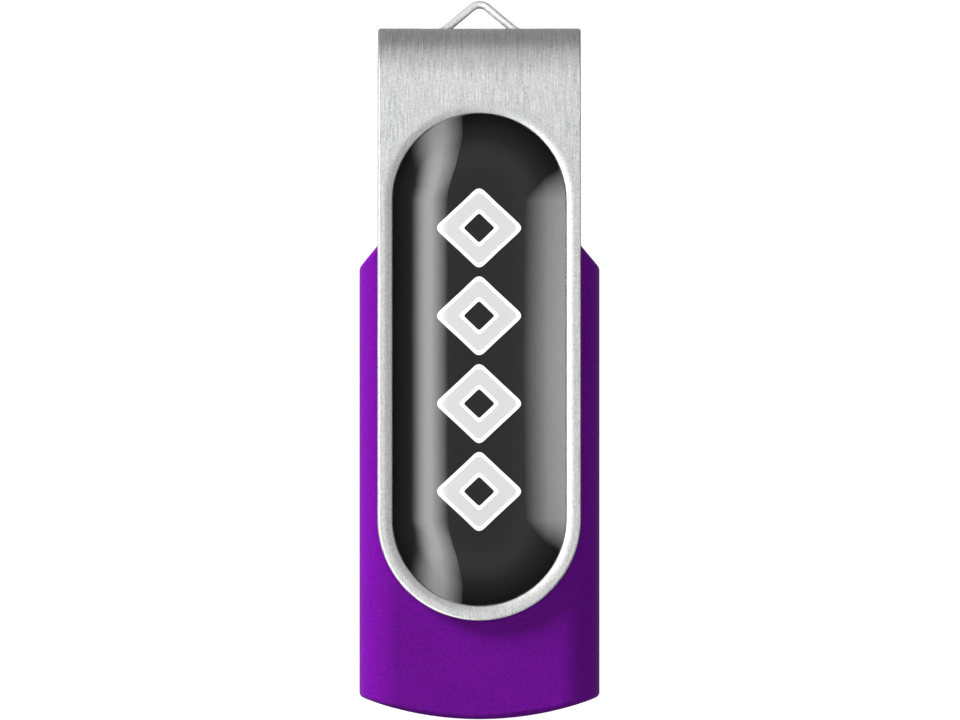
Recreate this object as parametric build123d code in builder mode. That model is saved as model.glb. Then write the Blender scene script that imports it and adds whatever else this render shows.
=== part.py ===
from build123d import *
import os
from math import atan2, cos, degrees, hypot, radians, sin, tan

# Swivel USB flash drive, in millimetres.
# It lies on the rear arm of its clip. +Z is up through the domed label, and +Y points to
# the closed end of the clip, where the wire loop hangs. The origin is on the surface that
# the drive lies on, below the middle of the whole drive.
# A "reach" is a distance along Y from the swivel axis. A "place" is an X and a reach.

# ---- clip: one bent strip of aluminium ----
clip_sheet = 0.8
clip_width = 16.05
clip_height = 9.7
clip_reach = 38.8  # outside of the closed end
clip_bend = 4.2  # outer radius where an arm turns into the closed end
clip_edge = 0.18  # rounding of the outer edges
recess_radius = 6.93  # stadium coined into the front arm for the label
recess_depth = 0.35
bevel_width = 0.43  # sloping band round the mouth of the recess
bevel_height = 0.046
bevel_edge = 3.0  # rounding between the bevel and the flat of the arm
label_span = 25.15  # between the centres of the stadium's two round ends
boss_radius = 2.3  # pivot boss pressed inwards from each arm
boss_height = 0.7
dimple_radius = 1.75  # hollow that the press leaves on the outside of a boss
dimple_edge = 0.25
eye_half_width = 5.3  # opening in the closed end for the wire loop
eye_half_height = 1.05

# ---- label film and clear dome ----
film_radius = 6.83
film_thickness = 0.15
dome_foot_radius = 6.8
dome_foot_height = 0.1  # the foot leans out to the edge of the dome
dome_radius = 6.88
dome_crown = 1.3
dome_flat = 1.35  # half the width of the flat top
dome_bend = 13.6  # radius of the arc from the flat top down to the sloping rim
dome_slope = 17.5  # of the rim, in degrees

# ---- wire loop ----
wire_radius = 0.32
wire_end_edge = 0.15
loop_reach = 37.58  # axis of the two feet, about which the loop swings
loop_droop = 25  # the loop hangs this far below level
loop_apex = 3.775  # from the feet to the corner where the legs would meet
loop_knee_out = 2.75  # where each leg bends towards its foot
loop_knee_up = 1.226
loop_foot = 5.0
loop_foot_end = 6.5
apex_rounding = 0.9
knee_rounding = 2.0
foot_rounding = 1.2

# ---- housing: two plastic shells that meet half way up ----
running_gap = 0.15  # between the housing and each arm of the clip
body_width = 19.0
body_rounding = 3.0  # along the two long sides
rear_reach = -15.83
rear_radius = 26.24
rear_edge = 0.45
shoulder_reach = 19.85
nose_reach = 22.83
nose_width = 14.0
front_edge = 0.7
wall = 1.3
seam_chamfer = 0.12
socket_radius = boss_radius + 0.05
socket_depth = 0.7
rib_overlap = 0.3  # how far an inner rib runs into the wall that carries it
saddle_reach = 17.6  # wall that carries the plug behind the nose
saddle_thickness = 1.0
post_radius = 1.0
post_places = [(7.15, 15.9), (-7.15, 15.9), (6.5, -12.3), (-6.5, -12.3)]
pin_radius = 0.5
pin_clearance = 0.03
pin_length = 1.6
pin_hole_depth = 1.9
lip_width = 0.55  # lip of the upper shell, which sits in a groove of the lower one
lip_height = 0.5
lip_length = 22.0
lip_clearance = 0.05
ledge_width = 0.9  # ledges under the sides of the circuit board
ledge_length = 21.0
hold_down_width = 1.0  # ribs that hold the board down on its ledges
hold_down_gap = 0.05
hold_down_spacing = 9.0

# ---- USB-A plug ----
plug_width = 12.0
plug_height = 4.5
plug_sheet = 0.3
plug_corner = 0.6
plug_tip_reach = nose_reach + 12.0
plug_length = 18.8
plug_tip_edge = 0.12
plug_clearance = 0.05  # between the plug and the housing around it
plug_opening = 1.95  # open height over the contacts
plug_seam = 0.1  # where the rolled sheet meets underneath
window_width = 2.5
window_length = 2.0
window_corner = 0.2
window_from_tip = 5.16
window_spacing = 4.5
tab_length = 2.6  # tabs of the shell that grip the sides of the board
tab_height = 1.9
tongue_setback = 0.4  # of the plastic tongue, from the tip of the shell
block_length = 5.0  # plastic that fills the rear of the plug
contact_width = 1.0
contact_thickness = 0.2
contact_tip_edge = 0.1
contact_tail_reach = 13.9
power_setback = 1.2  # of the two outer contacts, from the tip of the shell
data_setback = 2.2  # of the two inner ones, which connect later
contacts = [
    ("contact_vbus", 3.5, power_setback),
    ("contact_d_minus", 1.0, data_setback),
    ("contact_d_plus", -1.0, data_setback),
    ("contact_gnd", -3.5, power_setback),
]

# ---- circuit board and its components ----
board_thickness = 0.8
board_half_width = 7.6
board_rear_reach = -10.9
board_rear_corner = 0.6
neck_half_width = 5.6  # the board is narrower between the tabs of the plug
neck_reach = 13.2
board_front_reach = 16.0
package_edge = 0.15
lead_pitch = 0.5
lead_width = 0.22
lead_sheet = 0.15
lead_clear = 1.5  # more than any lead stands out or up
package_gap = 0.1  # between a chip and the board
flash_reach = 1.2
flash_width = 12.0
flash_length = 18.4
flash_height = 1.0
flash_leads_a_side = 24
flash_lead_run = 0.8
flash_lead_drop = 0.6
mark_radius = 0.5  # moulded mark at the chip's first lead
mark_depth = 0.1
mark_inset = 1.2
controller_reach = 7.2
controller_width = 7.0
controller_height = 1.3
controller_leads_a_side = 12
controller_lead_run = 0.9
controller_lead_drop = 0.7
crystal_place = (0, -2.2)
crystal_length = 5.0
crystal_width = 3.2
crystal_height = 1.1
crystal_corner = 0.5
crystal_edge = 0.2
regulator_place = (-3.2, -6.6)
regulator_length = 2.9
regulator_width = 1.4
regulator_height = 1.1
regulator_pin_pitch = 0.95
regulator_pin_width = 0.4
regulator_pin_length = 0.65
small_part_length = 1.6
small_part_width = 0.8
capacitor_height = 0.8
capacitor_places = [(-6.2, 12.1), (-4.2, 12.1), (2.2, 12.1), (6.7, 10.3)]
resistor_height = 0.5
resistor_places = [(-2.0, 12.1), (0.1, 12.1), (4.3, 12.1)]
led_place = (0, -10.0)
led_height = 0.7
led_edge = 0.2
solder_width = 1.5
solder_length = 1.2
solder_height = 0.4
solder_edge = 0.15
tab_solder_width = 0.6

# ---- levels and places worked out from these ----
middle = clip_height / 2
clip_half_width = clip_width / 2
body_bottom = clip_sheet + running_gap
body_top = clip_height - clip_sheet - running_gap
body_height = body_top - body_bottom
half_width = body_width / 2
cavity_half_width = half_width - wall
cavity_half_height = body_height / 2 - wall
label_level = clip_height - recess_depth
dome_level = label_level + film_thickness
mouth_radius = recess_radius + bevel_width
leg_rise = loop_apex - loop_knee_up
apex_cut = apex_rounding * (hypot(loop_knee_out, leg_rise) / loop_knee_out - 1)
loop_tip_reach = loop_reach + (loop_apex - apex_cut) * cos(radians(loop_droop)) + wire_radius
pivot_y = -(loop_tip_reach + rear_reach) / 2
plug_rear_reach = plug_tip_reach - plug_length
inner_width = plug_width - 2 * plug_sheet
inner_height = plug_height - 2 * plug_sheet
inner_corner = plug_corner - plug_sheet
board_top = middle + inner_height / 2 - plug_opening - contact_thickness
board_bottom = board_top - board_thickness
board_middle = (board_rear_reach + neck_reach) / 2


def level(height):
    """Horizontal plane centred on the swivel axis."""
    return Plane(origin=(0, pivot_y, height), x_dir=(1, 0, 0), z_dir=(0, 0, 1))


def across(reach, height=middle):
    """Upright plane across the drive. X is to the right, Y is up, and it faces the rear."""
    return Plane(origin=(0, pivot_y + reach, height), x_dir=(1, 0, 0), z_dir=(0, -1, 0))


lengthwise = Plane(origin=(0, pivot_y, 0), x_dir=(0, 1, 0), z_dir=(1, 0, 0))


def upright_axis(reach):
    """Vertical axis in the middle of the drive."""
    return Axis((0, pivot_y + reach, 0), (0, 0, 1))


def finish(builder, name):
    """Label a finished sub-part and write its STEP file."""
    builder.part.label = name
    export_step(builder.part, f"parts/{name}.step")


os.makedirs("parts", exist_ok=True)


# ================= swivel clip =================
def bent_profile(inset):
    """Side profile of the clip's outside, or, moved in by its sheet, of the room inside."""
    with BuildSketch(lengthwise) as profile:
        with BuildLine():
            Polyline(
                (-clip_half_width - inset, inset),
                (clip_reach - inset, inset),
                (clip_reach - inset, clip_height - inset),
                (-clip_half_width - inset, clip_height - inset),
                close=True,
            )
        make_face()
        fillet(profile.vertices().group_by(Axis.X)[-1], clip_bend - inset)
    return profile.sketch


def is_recess_mouth(edge):
    """True for the edges where the bevel of the label recess meets the flat of the arm."""
    point = edge @ 0.5
    near_x = abs(point.X) < mouth_radius + 0.1
    near_y = -mouth_radius - 0.1 < point.Y - pivot_y < label_span + mouth_radius + 0.1
    return near_x and near_y and abs(point.Z - clip_height) < 0.001


clip_outside = bent_profile(0)
clip_inside = bent_profile(clip_sheet)

with BuildPart() as swivel_clip:
    extrude(clip_outside, amount=clip_half_width, both=True)
    with BuildSketch(level(0)):
        Circle(clip_half_width)
        with Locations((0, clip_reach / 2)):
            Rectangle(clip_width, clip_reach)
    extrude(amount=clip_height, mode=Mode.INTERSECT)
    outline = swivel_clip.edges().filter_by(Axis.X, reverse=True)
    fillet(outline.filter_by(lambda edge: abs(edge.length - clip_height) > 0.01), clip_edge)
    extrude(clip_inside, amount=clip_half_width, both=True, mode=Mode.SUBTRACT)
    # coined recess for the label, with a bevel round its mouth
    for radius, depth, taper in (
        (recess_radius, recess_depth, 0),
        (mouth_radius, bevel_height, degrees(atan2(bevel_width, bevel_height))),
    ):
        with BuildSketch(level(clip_height)):
            with Locations((0, label_span / 2)):
                SlotCenterToCenter(label_span, 2 * radius, rotation=90)
        extrude(amount=-depth, taper=taper, mode=Mode.SUBTRACT)
    fillet(swivel_clip.edges().filter_by(is_recess_mouth), bevel_edge)
    # pivot bosses, pressed inwards from both arms
    for inner_face, outer_face, inwards in (
        (clip_height - clip_sheet, label_level, -1),
        (clip_sheet, 0, 1),
    ):
        with BuildSketch(level(inner_face)):
            Circle(boss_radius)
        extrude(amount=inwards * boss_height)
        with BuildSketch(level(outer_face)):
            Circle(dimple_radius)
        extrude(amount=inwards * boss_height, mode=Mode.SUBTRACT)
    circles = swivel_clip.edges().filter_by(GeomType.CIRCLE)
    dimple_rim = circles.filter_by(lambda edge: abs(edge.radius - dimple_radius) < 0.01)
    fillet(dimple_rim.sort_by(Axis.Z)[0], dimple_edge)
    # eye in the closed end
    with BuildSketch(across(clip_reach + 1)):
        SlotOverall(2 * eye_half_width, 2 * eye_half_height)
    extrude(amount=clip_bend, mode=Mode.SUBTRACT)
finish(swivel_clip, "swivel_clip")

# ================= printed label film =================
with BuildPart() as label_film:
    with BuildSketch(level(label_level)):
        with Locations((0, label_span / 2)):
            SlotCenterToCenter(label_span, 2 * film_radius, rotation=90)
    extrude(amount=film_thickness)
finish(label_film, "label_film")

# ================= clear resin dome =================
shoulder_x = dome_flat + dome_bend * sin(radians(dome_slope))
shoulder_height = dome_crown - dome_bend * (1 - cos(radians(dome_slope)))
rim_height = shoulder_height - (dome_radius - shoulder_x) * tan(radians(dome_slope))


def dome_half_section(reach):
    """Right half of the dome's section: flat top, arc, sloping rim, edge and foot."""
    with BuildSketch(across(reach, dome_level)) as section:
        with BuildLine():
            Line((0, dome_crown), (dome_flat, dome_crown))
            TangentArc((dome_flat, dome_crown), (shoulder_x, shoulder_height), tangent=(1, 0))
            Polyline(
                (shoulder_x, shoulder_height),
                (dome_radius, rim_height),
                (dome_radius, dome_foot_height),
                (dome_foot_radius, 0),
                (0, 0),
                (0, dome_crown),
            )
        make_face()
    return section.sketch


lower_section = dome_half_section(0)
upper_section = dome_half_section(label_span)

with BuildPart() as resin_dome:
    revolve(lower_section, axis=upright_axis(0), revolution_arc=-180)
    revolve(upper_section, axis=upright_axis(label_span), revolution_arc=180)
    extrude(lower_section, amount=-label_span)
    extrude(mirror(lower_section, about=Plane.YZ, mode=Mode.PRIVATE), amount=-label_span)
finish(resin_dome, "resin_dome")

# ================= wire loop =================
loop_plane = Plane(
    origin=(0, pivot_y + loop_reach, middle),
    x_dir=(1, 0, 0),
    z_dir=(0, sin(radians(loop_droop)), cos(radians(loop_droop))),
)

with BuildPart() as lanyard_loop:
    with BuildLine(loop_plane) as loop_path:
        FilletPolyline(
            (-loop_foot_end, 0),
            (-loop_foot, 0),
            (-loop_knee_out, loop_knee_up),
            (0, loop_apex),
            (loop_knee_out, loop_knee_up),
            (loop_foot, 0),
            (loop_foot_end, 0),
            radius=[foot_rounding, knee_rounding, apex_rounding, knee_rounding, foot_rounding],
        )
    with BuildSketch(Plane(origin=loop_path.line @ 0, z_dir=loop_path.line % 0)):
        Circle(wire_radius)
    sweep()
    fillet(lanyard_loop.edges().group_by(Axis.X)[0], wire_end_edge)
    fillet(lanyard_loop.edges().group_by(Axis.X)[-1], wire_end_edge)
finish(lanyard_loop, "lanyard_loop")


# ================= housing =================
def housing_plan(inset):
    """Outline of the housing from above, moved in from its outer skin."""
    corner_reach = rear_reach + rear_radius - (rear_radius**2 - half_width**2) ** 0.5
    with BuildSketch(level(0)) as plan:
        with BuildLine():
            ThreePointArc((-half_width, corner_reach), (0, rear_reach), (half_width, corner_reach))
            Polyline(
                (half_width, corner_reach),
                (half_width, shoulder_reach),
                (nose_width / 2, nose_reach),
                (-nose_width / 2, nose_reach),
                (-half_width, shoulder_reach),
                (-half_width, corner_reach),
            )
        make_face()
        if inset > 0:
            offset(amount=-inset, kind=Kind.INTERSECTION)
    return plan.sketch


def housing_form(inset):
    """Closed solid of the housing's outside, moved in from its outer skin."""
    plan = housing_plan(inset)
    with BuildPart() as form:
        with BuildSketch(across(rear_reach - 1)):
            RectangleRounded(body_width - 2 * inset, body_height - 2 * inset, body_rounding - inset)
        extrude(amount=-(nose_reach - rear_reach + 2))
        extrude(plan, amount=clip_height, mode=Mode.INTERSECT)
        if inset == 0:
            end_edges = form.edges().filter_by(Axis.Y, reverse=True)
            fillet(end_edges.filter_by(lambda edge: (edge @ 0.5).Y > pivot_y), front_edge)
            end_edges = form.edges().filter_by(Axis.Y, reverse=True)
            fillet(end_edges.filter_by(lambda edge: (edge @ 0.5).Y < pivot_y), rear_edge)
    return form.part


outer_form = housing_form(0)
cavity_form = housing_form(wall)


def housing_shell(upwards):
    """Empty half of the housing with its saddle wall and socket: +1 upper, -1 lower."""
    with BuildPart() as shell:
        add(outer_form)
        split(bisect_by=Plane.XY.offset(middle), keep=Keep.TOP if upwards > 0 else Keep.BOTTOM)
        seam = shell.faces().filter_by_position(Axis.Z, middle - 0.001, middle + 0.001)
        chamfer(seam.edges(), seam_chamfer)
        add(cavity_form, mode=Mode.SUBTRACT)
        with BuildSketch(level(middle)):
            with Locations((0, saddle_reach)):
                Rectangle(2 * (cavity_half_width + rib_overlap), saddle_thickness)
        extrude(amount=upwards * (cavity_half_height + rib_overlap))
        with BuildSketch(level(middle + upwards * body_height / 2)):
            Circle(socket_radius)
        extrude(amount=-upwards * socket_depth, mode=Mode.SUBTRACT)
    return shell.part


def plug_outline(clearance):
    """Section of the plug's outside, or of the hole that it passes through."""
    with BuildSketch(across(saddle_reach - saddle_thickness)) as outline:
        RectangleRounded(
            plug_width + 2 * clearance, plug_height + 2 * clearance, plug_corner + clearance
        )
    return outline.sketch


def side_rails(width, length, inner_edge):
    """Two strips along the sides of the cavity, from inner_edge outwards."""
    for direction in (-1, 1):
        with Locations((direction * (inner_edge + width / 2), board_middle)):
            Rectangle(width, length)


upper_shell = housing_shell(1)
lower_shell = housing_shell(-1)
plug_hole = plug_outline(plug_clearance)
cavity_top = middle + cavity_half_height
cavity_bottom = middle - cavity_half_height

with BuildPart() as upper_housing:
    add(upper_shell)
    # posts with pins
    with BuildSketch(level(middle)):
        with Locations(*post_places):
            Circle(post_radius)
    extrude(amount=cavity_half_height + rib_overlap)
    with BuildSketch(level(middle)):
        with Locations(*post_places):
            Circle(pin_radius)
    extrude(amount=-pin_length)
    # ribs that hold the board down
    with BuildSketch(level(board_top + hold_down_gap)):
        for direction in (-1, 1):
            with Locations((direction * (cavity_half_width - ledge_width / 2), board_middle)):
                with GridLocations(0, hold_down_spacing, 1, 3):
                    Rectangle(ledge_width + rib_overlap, hold_down_width)
    extrude(amount=cavity_top + rib_overlap - board_top - hold_down_gap)
    # lip along the seam
    with BuildSketch(level(middle)):
        side_rails(lip_width, lip_length, cavity_half_width)
    extrude(amount=-lip_height)
    extrude(plug_hole, amount=-plug_length, mode=Mode.SUBTRACT)
finish(upper_housing, "upper_housing")

with BuildPart() as lower_housing:
    add(lower_shell)
    # bosses with holes for the pins
    with BuildSketch(level(middle)):
        with Locations(*post_places):
            Circle(post_radius)
    extrude(amount=-cavity_half_height - rib_overlap)
    with BuildSketch(level(middle)):
        with Locations(*post_places):
            Circle(pin_radius + pin_clearance)
    extrude(amount=-pin_hole_depth, mode=Mode.SUBTRACT)
    # ledges under the board
    with BuildSketch(level(board_bottom)):
        side_rails(ledge_width + rib_overlap, ledge_length, cavity_half_width - ledge_width)
    extrude(amount=cavity_bottom - rib_overlap - board_bottom)
    # groove along the seam
    with BuildSketch(level(middle)):
        side_rails(lip_width + lip_clearance, lip_length + 2 * lip_clearance, cavity_half_width)
    extrude(amount=-lip_height - lip_clearance, mode=Mode.SUBTRACT)
    extrude(plug_hole, amount=-plug_length, mode=Mode.SUBTRACT)
finish(lower_housing, "lower_housing")

# ================= USB-A plug =================
window_reach = plug_tip_reach - window_from_tip - window_length / 2

with BuildPart() as plug_shell:
    with BuildSketch(across(plug_rear_reach)):
        RectangleRounded(plug_width, plug_height, plug_corner)
    extrude(amount=-plug_length)
    chamfer(plug_shell.faces().sort_by(Axis.Y)[-1].edges(), plug_tip_edge)
    with BuildSketch(across(plug_rear_reach)):
        RectangleRounded(inner_width, inner_height, inner_corner)
    extrude(amount=-plug_length, mode=Mode.SUBTRACT)
    # two windows in each broad face
    with BuildSketch(level(0)):
        with Locations((0, window_reach)):
            with GridLocations(window_spacing, 0, 2, 1):
                RectangleRounded(window_width, window_length, window_corner)
    extrude(amount=clip_height, mode=Mode.SUBTRACT)
    # seam underneath
    with BuildSketch(level(middle - plug_height / 2)):
        with Locations((0, plug_rear_reach + plug_length / 2)):
            Rectangle(plug_seam, plug_length)
    extrude(amount=plug_sheet, mode=Mode.SUBTRACT)
    # tabs that grip the board
    with BuildSketch(level(middle - tab_height / 2)):
        with Locations((0, plug_rear_reach - tab_length / 2)):
            with GridLocations(plug_width - plug_sheet, 0, 2, 1):
                Rectangle(plug_sheet, tab_length)
    extrude(amount=tab_height)
finish(plug_shell, "plug_shell")


def blade(place_x, setback):
    """Outline of one contact seen from above, from its tail to its tip."""
    length = plug_tip_reach - setback - contact_tail_reach
    with Locations((place_x, contact_tail_reach + length / 2)):
        Rectangle(contact_width, length)


with BuildPart() as plug_insulator:
    with BuildSketch(across(plug_rear_reach)):
        RectangleRounded(inner_width, inner_height, inner_corner)
    extrude(amount=-(plug_length - tongue_setback))
    # the half over the contacts is open in front of the rear block
    with BuildSketch(level(board_top)):
        with Locations((0, plug_rear_reach + block_length + plug_length / 2)):
            Rectangle(plug_width, plug_length)
    extrude(amount=plug_height, mode=Mode.SUBTRACT)
    # slots through the rear block for the contacts
    with BuildSketch(level(board_top)):
        for name, place_x, setback in contacts:
            blade(place_x, setback)
    extrude(amount=contact_thickness, mode=Mode.SUBTRACT)
finish(plug_insulator, "plug_insulator")

for name, place_x, setback in contacts:
    with BuildPart() as contact:
        with BuildSketch(level(board_top)):
            blade(place_x, setback)
        extrude(amount=contact_thickness)
        tip_edges = contact.edges().filter_by(Axis.X).sort_by(Axis.Y)[-2:]
        chamfer(tip_edges.sort_by(Axis.Z)[-1], contact_tip_edge)
    finish(contact, name)

# ================= circuit board =================
with BuildPart() as circuit_board:
    with BuildSketch(level(board_bottom)):
        with Locations((0, board_middle)):
            Rectangle(2 * board_half_width, neck_reach - board_rear_reach)
        with Locations((0, (neck_reach + board_front_reach) / 2)):
            Rectangle(2 * neck_half_width, board_front_reach - neck_reach)
    extrude(amount=board_thickness)
    fillet(circuit_board.edges().filter_by(Axis.Z).group_by(Axis.Y)[0], board_rear_corner)
finish(circuit_board, "circuit_board")


# ================= chips and their leads =================
def lead_profile(outwards, base_reach, base_height, upwards, start, run, drop):
    """Gull-wing lead from the side: out of the chip, down, and out onto the board."""
    upright = Plane(
        origin=(0, pivot_y + base_reach, base_height),
        x_dir=outwards,
        z_dir=Vector(outwards).cross(Vector(0, 0, upwards)),
    )
    with BuildSketch(upright) as profile:
        with BuildLine():
            Polyline(
                (start, drop),
                (start + run / 2, drop),
                (start + run / 2, lead_sheet),
                (start + run, lead_sheet),
                (start + run, 0),
                (start + run / 2 - lead_sheet, 0),
                (start + run / 2 - lead_sheet, drop - lead_sheet),
                (start, drop - lead_sheet),
                close=True,
            )
        make_face()
    return profile.sketch


def row_half_length(count):
    """Half the length of a row of leads."""
    return ((count - 1) * lead_pitch + lead_width) / 2


flash_rows = [
    lead_profile(
        outwards, flash_reach, board_top, 1, flash_length / 2, flash_lead_run, flash_lead_drop
    )
    for outwards in ((0, 1, 0), (0, -1, 0))
]
controller_rows = [
    lead_profile(
        outwards,
        controller_reach,
        board_bottom,
        -1,
        controller_width / 2,
        controller_lead_run,
        controller_lead_drop,
    )
    for outwards in ((1, 0, 0), (-1, 0, 0), (0, 1, 0), (0, -1, 0))
]

with BuildPart() as flash_memory:
    with BuildSketch(level(board_top + package_gap)):
        with Locations((0, flash_reach)):
            Rectangle(flash_width, flash_length)
    extrude(amount=flash_height)
    chamfer(flash_memory.faces().sort_by(Axis.Z)[-1].edges(), package_edge)
    with BuildSketch(level(board_top + package_gap + flash_height)):
        with Locations((flash_width / 2 - mark_inset, flash_reach + flash_length / 2 - mark_inset)):
            Circle(mark_radius)
    extrude(amount=-mark_depth, mode=Mode.SUBTRACT)
finish(flash_memory, "flash_memory")

with BuildPart() as flash_leads:
    for row in flash_rows:
        extrude(row, amount=row_half_length(flash_leads_a_side), both=True)
    with BuildSketch(level(board_top)):
        with Locations((0, flash_reach)):
            with GridLocations(lead_pitch, 0, flash_leads_a_side - 1, 1):
                Rectangle(lead_pitch - lead_width, flash_length + 2 * lead_clear)
    extrude(amount=lead_clear, mode=Mode.SUBTRACT)
finish(flash_leads, "flash_leads")

with BuildPart() as controller_chip:
    with BuildSketch(level(board_bottom - package_gap)):
        with Locations((0, controller_reach)):
            Rectangle(controller_width, controller_width)
    extrude(amount=-controller_height)
    chamfer(controller_chip.faces().sort_by(Axis.Z)[0].edges(), package_edge)
finish(controller_chip, "controller_chip")

with BuildPart() as controller_leads:
    for row in controller_rows:
        extrude(row, amount=row_half_length(controller_leads_a_side), both=True)
    with BuildSketch(level(board_bottom)):
        with Locations((0, controller_reach)):
            with GridLocations(lead_pitch, 0, controller_leads_a_side - 1, 1):
                Rectangle(lead_pitch - lead_width, controller_width + 2 * lead_clear)
            with GridLocations(0, lead_pitch, 1, controller_leads_a_side - 1):
                Rectangle(controller_width + 2 * lead_clear, lead_pitch - lead_width)
    extrude(amount=-lead_clear, mode=Mode.SUBTRACT)
finish(controller_leads, "controller_leads")

with BuildPart() as crystal:
    with BuildSketch(level(board_bottom)):
        with Locations(crystal_place):
            RectangleRounded(crystal_length, crystal_width, crystal_corner)
    extrude(amount=-crystal_height)
    fillet(crystal.faces().sort_by(Axis.Z)[0].edges(), crystal_edge)
finish(crystal, "crystal")

with BuildPart() as voltage_regulator:
    with BuildSketch(level(board_bottom)):
        with Locations(regulator_place):
            Rectangle(regulator_length, regulator_width)
    extrude(amount=-regulator_height)
    chamfer(voltage_regulator.faces().sort_by(Axis.Z)[0].edges(), package_edge)
    with BuildSketch(level(board_bottom)):
        with Locations(regulator_place):
            with GridLocations(regulator_pin_pitch, regulator_width + regulator_pin_length / 2, 3, 2):
                Rectangle(regulator_pin_width, regulator_pin_length)
    extrude(amount=-lead_sheet)
finish(voltage_regulator, "voltage_regulator")

# ================= small parts on the board =================
with BuildPart() as status_led:
    with BuildSketch(level(board_top)):
        with Locations(led_place):
            Rectangle(small_part_length, small_part_width)
    extrude(amount=led_height)
    fillet(status_led.edges().filter_by(Axis.Y).group_by(Axis.Z)[-1], led_edge)
finish(status_led, "status_led")

with BuildPart() as capacitors:
    with BuildSketch(level(board_top)):
        with Locations(*capacitor_places):
            Rectangle(small_part_width, small_part_length)
    extrude(amount=capacitor_height)
finish(capacitors, "capacitors")

with BuildPart() as resistors:
    with BuildSketch(level(board_top)):
        with Locations(*resistor_places):
            Rectangle(small_part_width, small_part_length)
    extrude(amount=resistor_height)
finish(resistors, "resistors")

with BuildPart() as solder_joints:
    with BuildSketch(level(board_top)):
        for name, place_x, setback in contacts:
            with Locations((place_x, contact_tail_reach + solder_length / 4)):
                Rectangle(solder_width, solder_length)
        with Locations((0, plug_rear_reach - tab_length / 2)):
            with GridLocations(inner_width - tab_solder_width, 0, 2, 1):
                Rectangle(tab_solder_width, solder_length)
    extrude(amount=solder_height)
    fillet(solder_joints.edges().group_by(Axis.Z)[-1], solder_edge)
    with BuildSketch(level(board_top)):
        for name, place_x, setback in contacts:
            blade(place_x, setback)
    extrude(amount=contact_thickness, mode=Mode.SUBTRACT)
finish(solder_joints, "solder_joints")
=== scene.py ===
# Looks of a swivel USB flash drive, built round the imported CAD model. Sizes are in metres, in the
# CAD's own frame: +Z is up through the domed label, and +Y points to the wire loop.
import math

import bmesh
import bpy
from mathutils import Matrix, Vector


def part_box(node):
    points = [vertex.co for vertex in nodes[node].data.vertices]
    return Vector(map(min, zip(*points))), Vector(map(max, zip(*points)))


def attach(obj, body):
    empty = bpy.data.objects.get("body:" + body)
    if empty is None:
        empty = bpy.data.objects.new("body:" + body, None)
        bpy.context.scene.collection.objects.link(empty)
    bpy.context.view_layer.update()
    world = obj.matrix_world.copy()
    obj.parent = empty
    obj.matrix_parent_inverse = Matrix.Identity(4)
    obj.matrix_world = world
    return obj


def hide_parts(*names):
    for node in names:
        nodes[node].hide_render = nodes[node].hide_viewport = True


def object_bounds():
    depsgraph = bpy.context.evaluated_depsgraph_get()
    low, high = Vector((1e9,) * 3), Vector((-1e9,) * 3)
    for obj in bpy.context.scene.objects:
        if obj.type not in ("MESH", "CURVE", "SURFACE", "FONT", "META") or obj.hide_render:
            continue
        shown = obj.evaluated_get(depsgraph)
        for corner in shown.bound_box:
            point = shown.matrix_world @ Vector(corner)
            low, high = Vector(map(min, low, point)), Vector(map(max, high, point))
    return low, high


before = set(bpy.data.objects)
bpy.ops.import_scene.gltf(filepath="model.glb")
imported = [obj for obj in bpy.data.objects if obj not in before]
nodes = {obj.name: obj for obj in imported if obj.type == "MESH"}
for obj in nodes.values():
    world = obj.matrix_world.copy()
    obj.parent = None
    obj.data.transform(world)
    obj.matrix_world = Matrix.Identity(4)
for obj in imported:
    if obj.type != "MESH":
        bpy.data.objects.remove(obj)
cad_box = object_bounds()
MM = 0.001

# ---- camera: above, a touch to the right, through a long lens ----
CAMERA_LEAN = math.radians(0.4)  # from straight above towards +X
VIEW_WIDTH = 76.0 * MM  # at the middle of the drive's height
VIEW_CENTRE_X = 0.04 * MM
VIEW_CENTRE_Y = -0.05 * MM
LENS = 600.0
SENSOR = 36.0
CLIP_START = 0.01
CLIP_END = 20.0

# ---- studio: two cards and a round band of light, a low key light, a fill, a sky, a floor ----
# Places on the cards are shares of their height, out from the point above the drive.
CARD_HEIGHT = 0.9
CARD_CELLS = 24
LEFT_CARD_NEAR = 0.175
LEFT_CARD_FAR = 0.72
LEFT_CARD_FULL = (0.385, 0.435)
LEFT_CARD_HALF_LENGTH = 1.2
LEFT_CARD_BOW = 0.05  # how far it bends inwards, a little way out from its middle
LEFT_BOW_START = (0.0, 0.18)  # distances along it between which the bow sets in
LEFT_BOW_END = (0.25, 0.55)  # and between which it goes down to the share below
LEFT_BOW_REST = 0.35
LEFT_CARD_DIM_FROM = 0.35  # distance along it where its ends start to dim
LEFT_CARD_END_SHARE = 0.5
LEFT_CARD_STRENGTH = 7.7
RIGHT_CARD_NEAR = 0.31
RIGHT_CARD_FULL = 0.785
RIGHT_CARD_FAR = 1.05
RIGHT_CARD_SPREAD = 0.74  # growth of half its length with the distance out
RIGHT_CARD_TIP = 0.01  # half its length at the near edge
RIGHT_CARD_STRENGTH = 6.8
KEY_DIRECTION = (-0.77, 0.56, 0.31)
KEY_DISTANCE = 1.2
KEY_SIZE = 0.4
KEY_POWER = 25.5
BAND_RADIUS = 1.6
BAND_LOW = -0.7
BAND_HIGH = 1.6
BAND_FADE = (0.65, 0.15)  # heights between which the band fades away, except on the left
BAND_LEFT = (0.0, -0.7)  # shares of its radius along X, between which it grows down to its foot
BAND_SEGMENTS = 64
BAND_ROWS = 4
BAND_STRENGTH = 1.2
BAND_TO_RIGHT = -0.4  # change in its strength towards +X
BAND_TO_LOOP = -0.45  # change in its strength towards +Y
FILL_PLACE = (0.5, -0.1, 1.4)
FILL_SIZE = 2.0
FILL_POWER = 6.0
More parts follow.
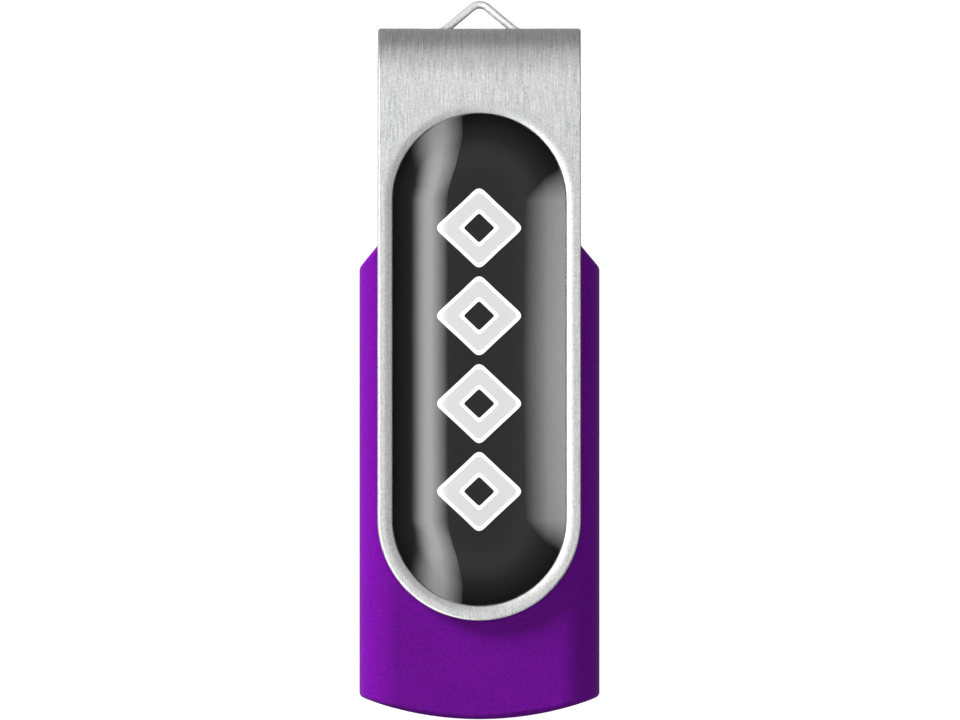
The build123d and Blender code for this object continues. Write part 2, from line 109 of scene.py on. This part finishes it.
# brightness of the sky, from straight down (0) through the horizon (0.5) to the zenith (1);
# the dips darken the two ends of the dome, and the steps above them shade the bend of the clip
SKY_STEPS = [
    (0.0, 0.5),
    (0.3, 0.4),
    (0.45, 0.31),
    (0.56, 0.32),
    (0.75, 0.2),
    (0.82, 0.12),
    (0.875, 0.1),
    (0.883, 0.13),
    (0.892, 0.2),
    (0.9, 0.275),
    (0.91, 0.35),
    (0.924, 0.395),
    (0.948, 0.6),
    (0.967, 0.72),
    (0.982, 0.73),
    (1.0, 0.6),
]
FLOOR_SIZE = 8.0
FLOOR_CELLS = 16
FLOOR_GLOW = 1.0

# ---- dome and print of the label ----
DOME_FLAT = 1.35 * MM  # half the width of the flat top
DOME_BEND = 13.6 * MM  # radius of the arc from the flat top down to the shoulder
DOME_SHOULDER_SLOPE = math.radians(17.5)
DOME_RIM_SLOPE = math.radians(20)
DOME_FOOT = 0.12 * MM  # how far the foot of the edge leans in, and how high it reaches
DOME_SINK = 0.03 * MM  # of the dome's underside into the film, so that no air is left between
DOME_RINGS = 40
DOME_RIM_RINGS = 16
DOME_EDGE_ROUNDING = 0.03 * MM
DOME_EDGE_STEPS = 4
MERGE_DISTANCE = 1e-7  # for the points of the flat top that fall together
CAP_STEPS = 72  # round each end of the dome
SIDE_STEPS = 16  # along each straight side
PRINT_COUNT = 4  # lozenges in the row
PRINT_PITCH = 6.93 * MM
PRINT_HALF_WIDTH = 3.45 * MM
PRINT_HALF_LENGTH = 3.3 * MM
PRINT_LINE = 0.26 * MM  # width of the outlines
PRINT_HOLE = 0.36  # size of the hole, as a share of the lozenge
PRINT_LIFT = 0.004 * MM
PRINT_THICKNESS = 0.008 * MM
PRINT_ROUNDING = 0.12  # share of each side that the softened corner takes
PRINT_CORNER_STEPS = 8
# painted glow: white light that the ink gives off by itself, to brighten the print
PAINTED_INK_GLOW = 0.1

# ---- clip: distances in mm from the line between the centres of the label's round ends ----
BRUSHING_STARTS = (7.5, 8.3)  # the brushed lines set in between these
LIP_SPAN = (7.2, 7.5)  # the lip of the recess fades into the flat between these
LIP_POLISH = 0.06  # how much less rough the lip is
RIM_LINES = 0.3  # share of the brushed lines left on the rim
BROAD_SHARE = 0.14  # of wide, faint streaks in the pattern
GRAIN_SHARE = 0.55  # of short grain in the pattern
PATTERN_SPAN = (-0.3, 0.3)

# ---- plated pieces ----
PLATE_FINE_SHARE = 0.6  # of the rolling marks in the pattern; the stains have the rest


# ================= node helpers =================
class Surface:
    """A material with a Principled shader, and short calls for its procedural nodes."""

    def __init__(self, name, **sockets):
        self.material = bpy.data.materials.new(name)
        self.material.use_nodes = True
        self.tree = self.material.node_tree
        self.tree.nodes.clear()
        output = self.tree.nodes.new("ShaderNodeOutputMaterial")
        self.shader = self.tree.nodes.new("ShaderNodeBsdfPrincipled")
        self.link(self.shader.outputs["BSDF"], output.inputs["Surface"])
        for socket, value in sockets.items():
            self.shader.inputs[socket.replace("_", " ")].default_value = value

    def link(self, source, target):
        self.tree.links.new(source, target)

    def place(self, x_mm=1.0, y_mm=1.0, z_mm=1.0):
        """Object coordinates, so scaled that one unit is this many millimetres each way."""
        coordinates = self.tree.nodes.new("ShaderNodeTexCoord")
        mapping = self.tree.nodes.new("ShaderNodeMapping")
        mapping.inputs["Scale"].default_value = [1 / (size * MM) for size in (x_mm, y_mm, z_mm)]
        self.link(coordinates.outputs["Object"], mapping.inputs["Vector"])
        return mapping.outputs["Vector"]

    def noise(self, place, detail=2.0, roughness=0.5):
        """Noise of about 0 to 1 with features of one unit."""
        node = self.tree.nodes.new("ShaderNodeTexNoise")
        node.inputs["Scale"].default_value = 1.0
        node.inputs["Detail"].default_value = detail
        node.inputs["Roughness"].default_value = roughness
        self.link(place, node.inputs["Vector"])
        return node.outputs["Fac"]

    def cells(self, place):
        """Distance to the nearest of a cloud of random points."""
        node = self.tree.nodes.new("ShaderNodeTexVoronoi")
        node.inputs["Scale"].default_value = 1.0
        self.link(place, node.inputs["Vector"])
        return node.outputs["Distance"]

    def math(self, operation, first, second=None):
        """Math node on sockets or numbers."""
        node = self.tree.nodes.new("ShaderNodeMath")
        node.operation = operation
        for socket, value in zip(node.inputs, (first, second)):
            if isinstance(value, bpy.types.NodeSocket):
                self.link(value, socket)
            elif value is not None:
                socket.default_value = value
        return node.outputs["Value"]

    def remap(self, value, low, high, to_low, to_high, smooth=False):
        """Value brought from the first range to the second, and kept inside it."""
        node = self.tree.nodes.new("ShaderNodeMapRange")
        node.interpolation_type = "SMOOTHSTEP" if smooth else "LINEAR"
        self.link(value, node.inputs["Value"])
        for name, number in (
            ("From Min", low),
            ("From Max", high),
            ("To Min", to_low),
            ("To Max", to_high),
        ):
            node.inputs[name].default_value = number
        return node.outputs["Result"]

    def blend(self, factor, first, second):
        """Colour that goes from first to second."""
        node = self.tree.nodes.new("ShaderNodeMix")
        node.data_type = "RGBA"
        self.link(factor, node.inputs["Factor"])
        for index, colour in ((6, first), (7, second)):
            if isinstance(colour, bpy.types.NodeSocket):
                self.link(colour, node.inputs[index])
            else:
                node.inputs[index].default_value = (*colour, 1)
        return node.outputs[2]

    def set(self, socket, value):
        """Drive a socket of the shader."""
        self.link(value, self.shader.inputs[socket])

    def bump(self, height, depth_mm, strength=1.0):
        node = self.tree.nodes.new("ShaderNodeBump")
        node.inputs["Strength"].default_value = strength
        node.inputs["Distance"].default_value = depth_mm * MM
        self.link(height, node.inputs["Height"])
        self.link(node.outputs["Normal"], self.shader.inputs["Normal"])


# ================= materials =================
recess_low, recess_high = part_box("label_film")
recess_radius = (recess_high.x - recess_low.x) / 2
recess_low_y = recess_low.y + recess_radius
recess_high_y = recess_high.y - recess_radius


def brushed_aluminium():
    """Brushed along the strip, but smooth satin on the narrow rim round the label."""
    metal = Surface("brushed_aluminium", Metallic=1.0, Anisotropic=0.45)
    streaks = metal.noise(metal.place(0.1, 2.4, 2.4), detail=4, roughness=0.7)
    broad = metal.noise(metal.place(0.7, 14.0, 14.0), detail=2)
    grain = metal.noise(metal.place(0.12, 0.16, 0.16), detail=2)
    # distance from the line between the centres of the label's round ends
    split = metal.tree.nodes.new("ShaderNodeSeparateXYZ")
    metal.link(metal.place(1, 1, 1), split.inputs["Vector"])
    clamp = metal.tree.nodes.new("ShaderNodeClamp")
    clamp.inputs["Min"].default_value = recess_low_y / MM
    clamp.inputs["Max"].default_value = recess_high_y / MM
    metal.link(split.outputs["Y"], clamp.inputs["Value"])
    off_y = metal.math("SUBTRACT", split.outputs["Y"], clamp.outputs["Result"])
    squares = metal.math(
        "ADD", metal.math("POWER", split.outputs["X"], 2), metal.math("POWER", off_y, 2)
    )
    distance = metal.math("SQRT", squares)
    brushed = metal.remap(distance, *BRUSHING_STARTS, RIM_LINES, 1.0, smooth=True)
    pattern = metal.math("MULTIPLY", metal.math("SUBTRACT", streaks, 0.5), brushed)
    for marks, share in ((broad, BROAD_SHARE), (grain, GRAIN_SHARE)):
        added = metal.math("MULTIPLY", metal.math("SUBTRACT", marks, 0.5), share)
        pattern = metal.math("ADD", pattern, added)
    shade = metal.remap(pattern, *PATTERN_SPAN, 0.0, 1.0)
    metal.set("Base Color", metal.blend(shade, (0.24, 0.243, 0.247), (0.68, 0.68, 0.675)))
    rough = metal.remap(pattern, *PATTERN_SPAN, 0.46, 0.32)
    lip = metal.remap(distance, *LIP_SPAN, LIP_POLISH, 0.0, smooth=True)
    metal.set("Roughness", metal.math("SUBTRACT", rough, lip))
    metal.bump(pattern, 0.012, 0.6)
    tangent = metal.tree.nodes.new("ShaderNodeTangent")
    tangent.direction_type = "RADIAL"
    tangent.axis = "X"
    metal.link(tangent.outputs["Tangent"], metal.shader.inputs["Tangent"])
    return metal.material


def soft_touch_plastic():
    """Matt purple with a fine spark-eroded grain."""
    plastic = Surface("purple_plastic", Specular_IOR_Level=0.025, Sheen_Weight=0.045)
    grain = plastic.noise(plastic.place(0.16, 0.16, 0.16), detail=3, roughness=0.6)
    pits = plastic.cells(plastic.place(0.22, 0.22, 0.22))
    clouds = plastic.noise(plastic.place(5, 7, 5), detail=2)
    pattern = plastic.math("ADD", grain, plastic.math("MULTIPLY", pits, 0.35))
    shade = plastic.math("ADD", pattern, plastic.math("MULTIPLY", clouds, 0.3))
    shade = plastic.remap(shade, 0.5, 1.1, 0.0, 1.0)
    plastic.set("Base Color", plastic.blend(shade, (0.104, 0.001, 0.21), (0.162, 0.0035, 0.31)))
    plastic.set("Roughness", plastic.remap(grain, 0.3, 0.7, 0.5, 0.64))
    plastic.bump(pattern, 0.01, 0.5)
    return plastic.material


def label_black():
    """Black film, matt and faintly mottled."""
    film = Surface("label_black", Specular_IOR_Level=0.0)
    mottle = film.noise(film.place(0.4, 0.4, 0.4), detail=3)
    film.set("Base Color", film.blend(mottle, (0.0008, 0.0008, 0.0009), (0.0018, 0.0018, 0.002)))
    film.set("Roughness", film.remap(mottle, 0.3, 0.7, 0.35, 0.5))
    return film.material


def ink(name, dark, light):
    """Screen-printed ink: slightly uneven and matt, with a painted glow: a faint white emission
    that brightens it though it is no lamp.
    """
    print_ink = Surface(name, Specular_IOR_Level=0.0, Emission_Strength=PAINTED_INK_GLOW)
    # painted glow: the ink shines white by itself
    print_ink.shader.inputs["Emission Color"].default_value = (1, 1, 1, 1)
    mottle = print_ink.noise(print_ink.place(0.25, 0.25, 0.25), detail=3)
    print_ink.set("Base Color", print_ink.blend(mottle, dark, light))
    print_ink.set("Roughness", print_ink.remap(mottle, 0.3, 0.7, 0.6, 0.75))
    return print_ink.material


def clear_resin():
    """Clear poured resin, with a very slow wave in its surface."""
    resin = Surface("clear_resin", Base_Color=(1, 1, 1, 1), IOR=1.55, Transmission_Weight=1.0)
    wave = resin.noise(resin.place(5, 8, 5), detail=1)
    haze = resin.noise(resin.place(0.8, 1.2, 0.8), detail=3)
    resin.set("Roughness", resin.remap(haze, 0.3, 0.7, 0.0, 0.03))
    resin.bump(wave, 0.02, 0.4)
    return resin.material


def satin_wire():
    """Satin steel wire with faint drawing marks."""
    wire = Surface("satin_wire", Metallic=1.0)
    marks = wire.noise(wire.place(0.35, 0.12, 0.12), detail=3)
    wire.set("Base Color", wire.blend(marks, (0.58, 0.585, 0.59), (0.76, 0.76, 0.76)))
    wire.set("Roughness", wire.remap(marks, 0.3, 0.7, 0.55, 0.65))
    wire.bump(marks, 0.006, 0.5)
    return wire.material


def plated(name, dark, light, low, high, grain_mm):
    """Plated metal with fine rolling marks along Y."""
    metal = Surface(name, Metallic=1.0)
    marks = metal.noise(metal.place(grain_mm, grain_mm * 12, grain_mm), detail=4)
    stains = metal.noise(metal.place(2.5, 3.5, 2.5), detail=2)
    fine_share = metal.math("MULTIPLY", marks, PLATE_FINE_SHARE)
    stain_share = metal.math("MULTIPLY", stains, 1 - PLATE_FINE_SHARE)
    pattern = metal.math("ADD", fine_share, stain_share)
    metal.set("Base Color", metal.blend(pattern, dark, light))
    metal.set("Roughness", metal.remap(pattern, 0.35, 0.65, low, high))
    metal.bump(marks, 0.004, 0.4)
    return metal.material


def moulded(name, dark, light, low, high, grain_mm, depth_mm=0.006, specular=0.5):
    """Moulded or fired non-metal with a fine grain."""
    body = Surface(name, Specular_IOR_Level=specular)
    grain = body.noise(body.place(grain_mm, grain_mm, grain_mm), detail=3, roughness=0.6)
    body.set("Base Color", body.blend(grain, dark, light))
    body.set("Roughness", body.remap(grain, 0.3, 0.7, low, high))
    body.bump(grain, depth_mm, 0.5)
    return body.material


def circuit_green():
    """Solder mask with copper tracks showing through as a slightly lighter green."""
    board = Surface("solder_mask", Specular_IOR_Level=0.5, Coat_Weight=0.3)
    tracks = board.tree.nodes.new("ShaderNodeTexWave")
    tracks.inputs["Scale"].default_value = 0.8
    tracks.inputs["Distortion"].default_value = 6.0
    tracks.inputs["Detail"].default_value = 1.0
    board.link(board.place(1, 1, 1), tracks.inputs["Vector"])
    copper = board.remap(tracks.outputs["Fac"], 0.45, 0.55, 0.0, 1.0, smooth=True)
    weave = board.noise(board.place(0.25, 0.25, 0.25), detail=2)
    green = board.blend(copper, (0.004, 0.045, 0.016), (0.012, 0.11, 0.04))
    board.set("Base Color", green)
    board.set("Roughness", board.remap(weave, 0.3, 0.7, 0.25, 0.4))
    board.bump(copper, 0.02, 0.5)
    return board.material


aluminium = brushed_aluminium()
plastic = soft_touch_plastic()
nickel = plated("nickel_plate", (0.55, 0.54, 0.51), (0.75, 0.74, 0.71), 0.2, 0.34, 0.12)
gold = plated("gold_plate", (0.72, 0.48, 0.17), (0.95, 0.7, 0.3), 0.16, 0.3, 0.1)
tin = plated("tinned_leads", (0.5, 0.5, 0.5), (0.75, 0.75, 0.76), 0.25, 0.45, 0.1)
white_plastic = moulded("white_plastic", (0.62, 0.62, 0.6), (0.72, 0.72, 0.7), 0.35, 0.5, 0.15)
epoxy = moulded("moulding_epoxy", (0.01, 0.01, 0.011), (0.024, 0.024, 0.026), 0.45, 0.65, 0.08)
ceramic = moulded("tan_ceramic", (0.3, 0.19, 0.1), (0.42, 0.29, 0.17), 0.4, 0.6, 0.1)
led_resin = moulded("led_resin", (0.75, 0.72, 0.5), (0.88, 0.86, 0.68), 0.15, 0.3, 0.2)

CAD_MATERIALS = {
    "swivel_clip": aluminium,
    "label_film": label_black(),
    "lanyard_loop": satin_wire(),
    "upper_housing": plastic,
    "lower_housing": plastic,
    "plug_shell": nickel,
    "plug_insulator": white_plastic,
    "contact_vbus": gold,
    "contact_d_minus": gold,
    "contact_d_plus": gold,
    "contact_gnd": gold,
    "circuit_board": circuit_green(),
    "flash_memory": epoxy,
    "controller_chip": epoxy,
    "voltage_regulator": epoxy,
    "resistors": epoxy,
    "flash_leads": tin,
    "controller_leads": tin,
    "crystal": tin,
    "solder_joints": tin,
    "status_led": led_resin,
    "capacitors": ceramic,
}
for name, material in CAD_MATERIALS.items():
    for material_slot in nodes[name].material_slots:
        material_slot.material = material


# ================= pieces made here =================
def make_object(name, mesh_builder, materials, smooth=False):
    """Turn a bmesh into an object in the CAD's frame."""
    mesh = bpy.data.meshes.new(name)
    bmesh.ops.recalc_face_normals(mesh_builder, faces=mesh_builder.faces)
    for face in mesh_builder.faces:
        face.smooth = smooth
    mesh_builder.to_mesh(mesh)
    mesh_builder.free()
    for material in materials:
        mesh.materials.append(material)
    made = bpy.data.objects.new(name, mesh)
    bpy.context.scene.collection.objects.link(made)
    return made


def stadium_ring(radius, low_y, high_y):
    """Points of a stadium's outline, counter-clockwise from its right side."""
    points = []
    for centre_y, start in ((high_y, 0), (low_y, math.pi)):
        for step in range(CAP_STEPS + 1):
            angle = start + math.pi * step / CAP_STEPS
            points.append((radius * math.cos(angle), centre_y + radius * math.sin(angle)))
        side = -radius if start == 0 else radius
        end_y = low_y if start == 0 else high_y
        for step in range(1, SIDE_STEPS):
            points.append((side, centre_y + (end_y - centre_y) * step / SIDE_STEPS))
    return points


def dome_profile(radius, base, crown):
    """(distance from the middle line, height) pairs from the flat top down to the foot."""
    shoulder_x = DOME_FLAT + DOME_BEND * math.sin(DOME_SHOULDER_SLOPE)
    shoulder_z = crown - DOME_BEND * (1 - math.cos(DOME_SHOULDER_SLOPE))
    rim_x = radius - DOME_EDGE_ROUNDING * (1 - math.sin(DOME_RIM_SLOPE))
    profile = [(0, crown)]
    for step in range(DOME_RINGS + 1):
        slope = DOME_SHOULDER_SLOPE * step / DOME_RINGS
        out = DOME_BEND * math.sin(slope)
        down = DOME_BEND * (1 - math.cos(slope))
        profile.append((DOME_FLAT + out, crown - down))
    # a flatter bend from the shoulder to the rim
    flatter = (rim_x - shoulder_x) / (math.sin(DOME_RIM_SLOPE) - math.sin(DOME_SHOULDER_SLOPE))
    for step in range(1, DOME_RIM_RINGS + 1):
        slope = DOME_SHOULDER_SLOPE + (DOME_RIM_SLOPE - DOME_SHOULDER_SLOPE) * step / DOME_RIM_RINGS
        out = flatter * (math.sin(slope) - math.sin(DOME_SHOULDER_SLOPE))
        down = flatter * (math.cos(DOME_SHOULDER_SLOPE) - math.cos(slope))
        profile.append((shoulder_x + out, shoulder_z - down))
    rim_z = profile[-1][1]
    for step in range(1, DOME_EDGE_STEPS + 1):
        slope = DOME_RIM_SLOPE + (math.pi / 2 - DOME_RIM_SLOPE) * step / DOME_EDGE_STEPS
        out = DOME_EDGE_ROUNDING * (math.sin(slope) - math.sin(DOME_RIM_SLOPE))
        down = DOME_EDGE_ROUNDING * (math.cos(DOME_RIM_SLOPE) - math.cos(slope))
        profile.append((rim_x + out, rim_z - down))
    profile.append((radius, base + DOME_FOOT))
    profile.append((radius - DOME_FOOT, base))
    profile.append((radius - DOME_FOOT, base - DOME_SINK))
    return profile


def make_dome():
    """Clear dome over the label, with a surface fine enough for clean reflections."""
    low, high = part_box("resin_dome")
    radius = (high.x - low.x) / 2
    builder = bmesh.new()
    rings = []
    for reach, height in dome_profile(radius, low.z, high.z):
        outline = stadium_ring(reach, low.y + radius, high.y - radius)
        rings.append([builder.verts.new((x, y, height)) for x, y in outline])
    for inner, outer in zip(rings, rings[1:]):
        for index in range(len(inner)):
            following = (index + 1) % len(inner)
            builder.faces.new((inner[index], outer[index], outer[following], inner[following]))
    underside = builder.faces.new(rings[-1][::-1])
    for edge in underside.edges:
        edge.smooth = False
    bmesh.ops.remove_doubles(builder, verts=builder.verts, dist=MERGE_DISTANCE)
    dome = make_object("clear_dome", builder, [clear_resin()], smooth=True)
    dome.visible_shadow = False
    return dome


def lozenge(half_width, half_length, centre_y):
    """Outline of a lozenge with softened corners."""
    corners = [(half_width, 0), (0, half_length), (-half_width, 0), (0, -half_length)]
    points = []
    for index, corner in enumerate(corners):
        before = corners[index - 1]
        after = corners[(index + 1) % len(corners)]
        for step in range(PRINT_CORNER_STEPS + 1):
            share = step / PRINT_CORNER_STEPS
            # quadratic curve from a little before the corner to a little after it
            weights = ((1 - share) ** 2, 2 * share * (1 - share), share**2)
            start = [c + (b - c) * PRINT_ROUNDING for c, b in zip(corner, before)]
            end = [c + (a - c) * PRINT_ROUNDING for c, a in zip(corner, after)]
            mixed = [sum(w * v for w, v in zip(weights, p)) for p in zip(start, corner, end)]
            points.append((mixed[0], centre_y + mixed[1]))
    return points


def add_band(builder, outer, inner, bottom, top):
    """A thin closed band between two outlines with the same number of points."""
    loops = [
        [builder.verts.new((x, y, z)) for x, y in outline]
        for outline, z in ((outer, top), (inner, top), (inner, bottom), (outer, bottom))
    ]
    for first, second in zip(loops, loops[1:] + loops[:1]):
        for index in range(len(first)):
            following = (index + 1) % len(first)
            builder.faces.new((first[index], first[following], second[following], second[index]))


def make_print():
    """Generic print: a row of outlined lozenges with holes."""
    film_low, film_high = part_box("label_film")
    bottom = film_high.z + PRINT_LIFT
    top = bottom + PRINT_THICKNESS
    middle_y = (film_low.y + film_high.y) / 2
    outline_ink = bmesh.new()
    fill_ink = bmesh.new()
    slant = math.hypot(PRINT_HALF_WIDTH, PRINT_HALF_LENGTH)
    inset = PRINT_LINE * slant / (PRINT_HALF_WIDTH * PRINT_HALF_LENGTH)
    for index in range(PRINT_COUNT):
        centre_y = middle_y + (index - (PRINT_COUNT - 1) / 2) * PRINT_PITCH
        scales = (1, 1 - inset, PRINT_HOLE + inset, PRINT_HOLE)
        outlines = [
            lozenge(PRINT_HALF_WIDTH * scale, PRINT_HALF_LENGTH * scale, centre_y)
            for scale in scales
        ]
        add_band(outline_ink, outlines[0], outlines[1], bottom, top)
        add_band(fill_ink, outlines[1], outlines[2], bottom, top)
        add_band(outline_ink, outlines[2], outlines[3], bottom, top)
    white = ink("white_ink", (0.86, 0.86, 0.86), (0.9, 0.9, 0.9))
    grey = ink("grey_ink", (0.39, 0.39, 0.39), (0.42, 0.42, 0.42))
    return [
        make_object("print_outline", outline_ink, [white]),
        make_object("print_fill", fill_ink, [grey]),
    ]


dome = make_dome()
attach(dome, "clip")
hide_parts("resin_dome")
for piece in make_print():
    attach(piece, "clip")


# ================= studio =================
def grid_object(name, corners, cells, material):
    """A flat four-cornered sheet of cells x cells faces."""
    builder = bmesh.new()
    rows = []
    for row in range(cells + 1):
        along = row / cells
        left = corners[0].lerp(corners[3], along)
        right = corners[1].lerp(corners[2], along)
        places = [left.lerp(right, column / cells) for column in range(cells + 1)]
        rows.append([builder.verts.new(place) for place in places])
    for lower, upper in zip(rows, rows[1:]):
        for column in range(cells):
            builder.faces.new((lower[column], lower[column + 1], upper[column + 1], upper[column]))
    made = make_object(name, builder, [material])
    return made


def glow_material(name, strength_of):
    """Light added to what is behind the sheet, with a strength worked out from the place."""
    glow = Surface(name)
    glow.tree.nodes.remove(glow.shader)
    emission = glow.tree.nodes.new("ShaderNodeEmission")
    clear = glow.tree.nodes.new("ShaderNodeBsdfTransparent")
    both = glow.tree.nodes.new("ShaderNodeAddShader")
    glow.link(emission.outputs["Emission"], both.inputs[0])
    glow.link(clear.outputs["BSDF"], both.inputs[1])
    output = next(n for n in glow.tree.nodes if n.type == "OUTPUT_MATERIAL")
    glow.link(both.outputs["Shader"], output.inputs["Surface"])
    split = glow.tree.nodes.new("ShaderNodeSeparateXYZ")
    glow.link(glow.place(1000, 1000, 1000), split.inputs["Vector"])
    strength = strength_of(glow, *(split.outputs[axis] for axis in "XYZ"))
    glow.link(strength, emission.inputs["Strength"])
    return glow.material


def left_strength(glow, x, y, _):
    """Brightest along the middle of the card, with a slow fall towards its two ends."""
    along = glow.math("ABSOLUTE", glow.math("DIVIDE", y, CARD_HEIGHT))
    bow = glow.remap(along, *LEFT_BOW_START, 0.0, LEFT_CARD_BOW, smooth=True)
    bow_share = glow.remap(along, *LEFT_BOW_END, 1.0, LEFT_BOW_REST, smooth=True)
    bow = glow.math("MULTIPLY", bow, bow_share)
    out = glow.math("ADD", glow.math("DIVIDE", x, -CARD_HEIGHT), bow)
    rise = glow.remap(out, LEFT_CARD_NEAR, LEFT_CARD_FULL[0], 0.0, 1.0)
    fall = glow.remap(out, LEFT_CARD_FULL[1], LEFT_CARD_FAR, 1.0, 0.0, smooth=True)
    ends = glow.remap(along, LEFT_CARD_DIM_FROM, LEFT_CARD_HALF_LENGTH, 1.0, LEFT_CARD_END_SHARE)
    across = glow.math("MULTIPLY", rise, fall)
    return glow.math("MULTIPLY", glow.math("MULTIPLY", across, ends), LEFT_CARD_STRENGTH)


def right_strength(glow, x, y, _):
    """Grows outwards, and fades at the two slanted ends."""
    near = CARD_HEIGHT * RIGHT_CARD_NEAR
    out = glow.remap(x, near, CARD_HEIGHT * RIGHT_CARD_FULL, 0.0, 1.0)
    half_length = glow.math("MULTIPLY", glow.math("SUBTRACT", x, near), RIGHT_CARD_SPREAD)
    slant = glow.math("DIVIDE", glow.math("ABSOLUTE", y), half_length)
    fade = glow.remap(slant, 0.0, 1.0, 1.0, 0.0)
    return glow.math("MULTIPLY", glow.math("MULTIPLY", out, fade), RIGHT_CARD_STRENGTH)


def make_card(name, corners, material):
    """A sheet of light that only gloss and glass see; the corners are shares of its height."""
    places = [Vector((x, y, 1)) * CARD_HEIGHT for x, y in corners]
    card = grid_object(name, places, CARD_CELLS, material)
    card.visible_camera = False
    card.visible_diffuse = False


def make_cards():
    """The two sheets of light that the dome mirrors."""
    length = LEFT_CARD_HALF_LENGTH
    left_corners = [
        (-LEFT_CARD_FAR, -length),
        (-LEFT_CARD_NEAR, -length),
        (-LEFT_CARD_NEAR, length),
        (-LEFT_CARD_FAR, length),
    ]
    make_card("left_card", left_corners, glow_material("left_glow", left_strength))
    reach = (RIGHT_CARD_FAR - RIGHT_CARD_NEAR) * RIGHT_CARD_SPREAD
    right_corners = [
        (RIGHT_CARD_NEAR, -RIGHT_CARD_TIP),
        (RIGHT_CARD_FAR, -reach),
        (RIGHT_CARD_FAR, reach),
        (RIGHT_CARD_NEAR, RIGHT_CARD_TIP),
    ]
    make_card("right_card", right_corners, glow_material("right_glow", right_strength))


def band_strength(glow, x, y, z):
    """Brightest to the left and to the free end of the clip, and lowest down on the left."""
    sideways = glow.math("DIVIDE", x, BAND_RADIUS)
    to_right = glow.math("MULTIPLY", sideways, BAND_TO_RIGHT)
    to_loop = glow.math("MULTIPLY", y, BAND_TO_LOOP / BAND_RADIUS)
    strength = glow.math("ADD", glow.math("ADD", to_right, to_loop), BAND_STRENGTH)
    high = glow.remap(z, BAND_FADE[1], BAND_FADE[0], 0.0, 1.0, smooth=True)
    left = glow.remap(sideways, BAND_LEFT[0], BAND_LEFT[1], 0.0, 1.0, smooth=True)
    return glow.math("MULTIPLY", strength, glow.math("MAXIMUM", high, left))


def make_band():
    """Round wall of light, for the edges and bends that face sideways."""
    builder = bmesh.new()
    rows = []
    for row in range(BAND_ROWS + 1):
        height = BAND_LOW + (BAND_HIGH - BAND_LOW) * row / BAND_ROWS
        points = []
        for segment in range(BAND_SEGMENTS):
            angle = math.tau * segment / BAND_SEGMENTS
            place = (BAND_RADIUS * math.cos(angle), BAND_RADIUS * math.sin(angle), height)
            points.append(builder.verts.new(place))
        rows.append(points)
    for lower, upper in zip(rows, rows[1:]):
        for index in range(BAND_SEGMENTS):
            following = (index + 1) % BAND_SEGMENTS
            builder.faces.new((lower[index], lower[following], upper[following], upper[index]))
    band = make_object("light_band", builder, [glow_material("band_glow", band_strength)])
    band.visible_camera = False
    band.visible_diffuse = False


def make_lamp(name, place, size, power):
    """Square area light that faces the drive."""
    light = bpy.data.lights.new(name, "AREA")
    light.shape = "SQUARE"
    light.size = size
    light.energy = power
    lamp = bpy.data.objects.new(name, light)
    lamp.location = place
    lamp.rotation_euler = place.to_track_quat("Z", "Y").to_euler()
    bpy.context.scene.collection.objects.link(lamp)
    return lamp


def make_lamps():
    """The low key light from the left and the fill; neither shows in gloss."""
    key_place = Vector(KEY_DIRECTION).normalized() * KEY_DISTANCE
    key = make_lamp("key_light", key_place, KEY_SIZE, KEY_POWER)
    fill = make_lamp("fill_light", Vector(FILL_PLACE), FILL_SIZE, FILL_POWER)
    for lamp in (key, fill):
        lamp.visible_glossy = False


def make_floor():
    """White paper that glows enough to hide all shadows on it."""
    paper = Surface("floor_paper", Specular_IOR_Level=0.0, Emission_Strength=FLOOR_GLOW)
    paper.shader.inputs["Emission Color"].default_value = (1, 1, 1, 1)
    grain = paper.noise(paper.place(1.5, 1.5, 1.5), detail=3)
    paper.set("Base Color", paper.blend(grain, (0.28, 0.28, 0.28), (0.32, 0.32, 0.32)))
    half = FLOOR_SIZE / 2
    level = cad_box[0].z
    outline = ((-half, -half), (half, -half), (half, half), (-half, half))
    corners = [Vector((x, y, level)) for x, y in outline]
    floor = grid_object("floor", corners, FLOOR_CELLS, paper.material)
    floor.visible_glossy = False
    floor.visible_diffuse = False


def make_sky():
    """Grey sky whose brightness depends only on the height of the direction."""
    world = bpy.data.worlds.new("studio")
    bpy.context.scene.world = world
    world.use_nodes = True
    tree = world.node_tree
    background = tree.nodes["Background"]
    direction = tree.nodes.new("ShaderNodeTexCoord")
    split = tree.nodes.new("ShaderNodeSeparateXYZ")
    height = tree.nodes.new("ShaderNodeMapRange")
    height.inputs["From Min"].default_value = -1.0
    ramp = tree.nodes.new("ShaderNodeValToRGB")
    stops = ramp.color_ramp.elements
    while len(stops) < len(SKY_STEPS):
        stops.new(1.0)
    for stop, (position, brightness) in zip(stops, SKY_STEPS):
        stop.position = position
        stop.color = (brightness, brightness, brightness, 1)
    tree.links.new(direction.outputs["Generated"], split.inputs["Vector"])
    tree.links.new(split.outputs["Z"], height.inputs["Value"])
    tree.links.new(height.outputs["Result"], ramp.inputs["Fac"])
    tree.links.new(ramp.outputs["Color"], background.inputs["Color"])
    background.inputs["Strength"].default_value = 1.0


def make_camera():
    """Long lens over the middle of the drive, so far off that the view has the wanted width."""
    low, high = cad_box
    camera = bpy.data.objects.new("camera", bpy.data.cameras.new("camera"))
    camera.data.lens = LENS
    camera.data.sensor_width = SENSOR
    camera.data.clip_start = CLIP_START
    camera.data.clip_end = CLIP_END
    distance = VIEW_WIDTH * LENS / SENSOR
    aim = Vector((VIEW_CENTRE_X, VIEW_CENTRE_Y, (low.z + high.z) / 2))
    camera.rotation_euler = (0, CAMERA_LEAN, 0)
    camera.location = aim + Vector((math.sin(CAMERA_LEAN), 0, math.cos(CAMERA_LEAN))) * distance
    bpy.context.scene.collection.objects.link(camera)
    bpy.context.scene.camera = camera


make_cards()
make_band()
make_lamps()
make_floor()
make_sky()
make_camera()
bpy.context.scene.view_settings.view_transform = "Standard"
